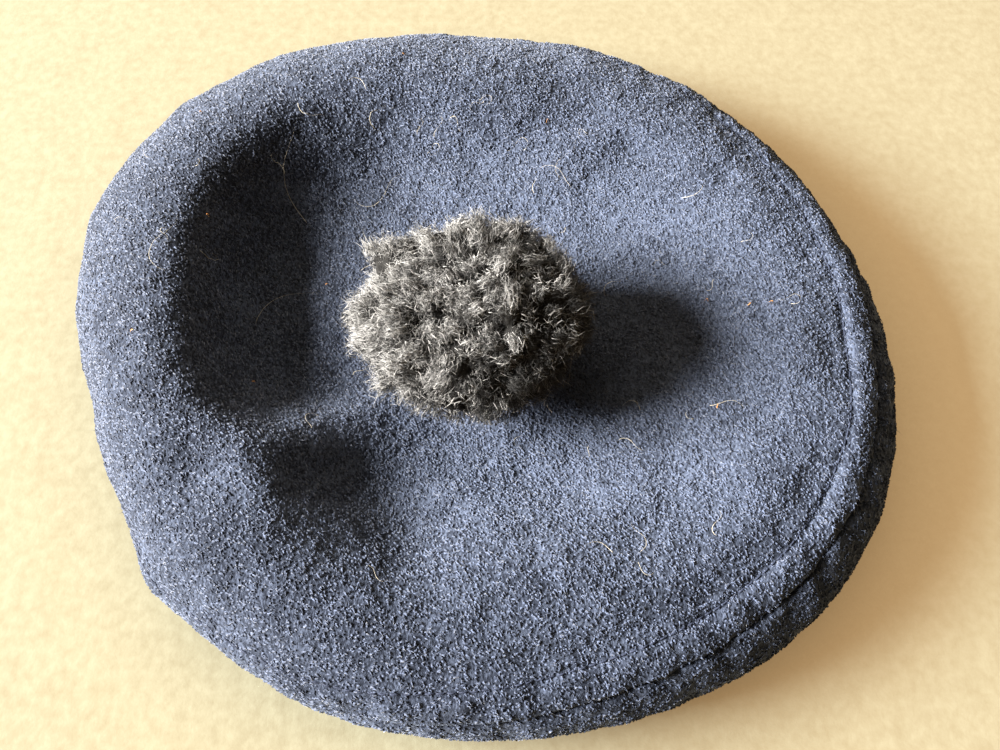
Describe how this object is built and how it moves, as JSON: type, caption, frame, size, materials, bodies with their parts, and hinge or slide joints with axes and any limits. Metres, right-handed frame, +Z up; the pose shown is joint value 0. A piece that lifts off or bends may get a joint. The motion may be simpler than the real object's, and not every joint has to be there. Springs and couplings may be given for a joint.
{
  "type": "beret",
  "caption": "Round soft cloth beret with a rolled rim, a lined underside, a head opening bound with tape, and a yarn pompom that tilts on its tie.",
  "frame": {"origin": "middle of the beret's outline, on the surface that it lies on", "axes": "+Z up, away from that surface, towards the pompom; +Y away from the viewer; +X to the right"},
  "size_m": [0.2815, 0.2614, 0.0606],
  "materials": {
    "navy_cloth": "felted wool melton, matt, with a raised nap",
    "navy_thread": "spun sewing thread",
    "lining_satin": "woven satin, slightly shiny",
    "ribbon": "ribbed grosgrain ribbon",
    "felt": "pressed felt",
    "tie_cord": "twisted cord",
    "pompom_yarn": "curly woolly yarn, grey over black"
  },
  "bodies": {
    "cap": {"crown_panel": "navy_cloth", "underside_panel": "navy_cloth", "rim_seam_thread": "navy_thread", "rim_topstitch_thread": "navy_thread", "crown_lining": "lining_satin", "underside_lining": "lining_satin", "lining_seam_thread": "navy_thread", "opening_binding": "ribbon", "binding_stitch_thread": "navy_thread", "sweatband": "ribbon", "sweatband_stitch_thread": "navy_thread", "stay_disc": "felt", "anchor_cord": "tie_cord"},
    "neck": {"neck_knot": "tie_cord"},
    "pompom": {"pompom_tie": "tie_cord", "pompom_yarn": "pompom_yarn"}
  },
  "joints": [
    {"name": "pompom_tilt_sideways", "type": "hinge", "parent": "cap", "child": "neck", "pos_m": [0.001, -0.0105, 0.01855], "axis": [0, 1, 0], "range_deg": [-12, 12], "stiffness_Nm_per_rad": 0.03},
    {"name": "pompom_tilt_forward", "type": "hinge", "parent": "neck", "child": "pompom", "pos_m": [0.001, -0.0105, 0.01855], "axis": [1, 0, 0], "range_deg": [-12, 12], "stiffness_Nm_per_rad": 0.03}
  ]
}
